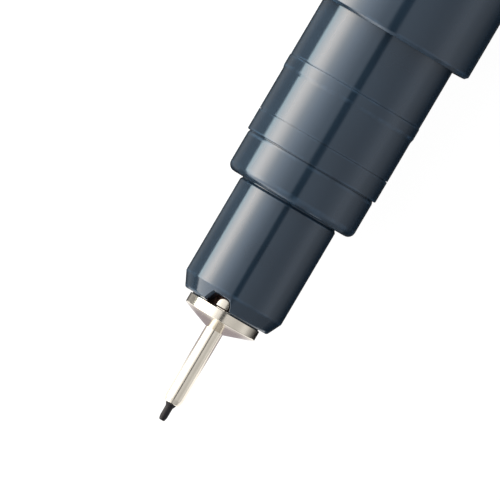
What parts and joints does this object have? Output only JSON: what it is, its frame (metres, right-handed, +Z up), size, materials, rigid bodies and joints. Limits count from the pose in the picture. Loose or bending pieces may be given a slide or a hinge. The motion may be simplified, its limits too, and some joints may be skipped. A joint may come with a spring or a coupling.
{
  "type": "technical pen",
  "caption": "Slim technical drawing pen: steel needle with a pin nib, turned metal disc, stepped grip, plain barrel, and a clip cap pushed onto the tail.",
  "frame": {"origin": "on the table under the middle of the pen, which lies on its barrel and the edge of its clip", "axes": "+X from the nib to the crown of the cap, +Y across the table, +Z up"},
  "size_m": [0.1568, 0.0126, 0.0114],
  "materials": {
    "barrel_plastic": "semi-gloss, fine moulded",
    "black_plastic": "moulded",
    "white_plastic": "moulded",
    "seal_rubber": "matt",
    "nickel": "turned and polished",
    "spring_steel": "fine brushed",
    "nib_plastic": "inked",
    "inked_fibre": "bonded fibre",
    "film": "thin film",
    "size_colour": "moulded"
  },
  "bodies": {
    "pen": {"nib_point": "nib_plastic", "needle_sleeve": "nickel", "tip_disc": "nickel", "nib_holder": "black_plastic", "relay_wick": "inked_fibre", "wick_guide": "white_plastic", "nose_piece": "barrel_plastic", "section_ring": "barrel_plastic", "grip_sleeve": "barrel_plastic", "barrel": "barrel_plastic", "reservoir_fibre": "inked_fibre", "reservoir_film": "film", "tail_plug": "barrel_plastic", "tail_size_disc": "size_colour"},
    "cap": {"cap_shell": "barrel_plastic", "cap_liner": "white_plastic", "cap_seal_ring": "seal_rubber", "cap_crown": "barrel_plastic", "crown_size_disc": "size_colour"},
    "clip": {"cap_clip": "spring_steel"}
  },
  "joints": [
    {"name": "cap_slide", "type": "slide", "parent": "pen", "child": "cap", "axis": [1, 0, 0], "range_m": [0, 0.03]},
    {"name": "clip_flex", "type": "hinge", "parent": "cap", "child": "clip", "pos_m": [0.0765, -0.00417, 0.0026], "axis": [0, -0.5968, 0.8024], "range_deg": [0, 4], "stiffness_Nm_per_rad": 1.2}
  ]
}
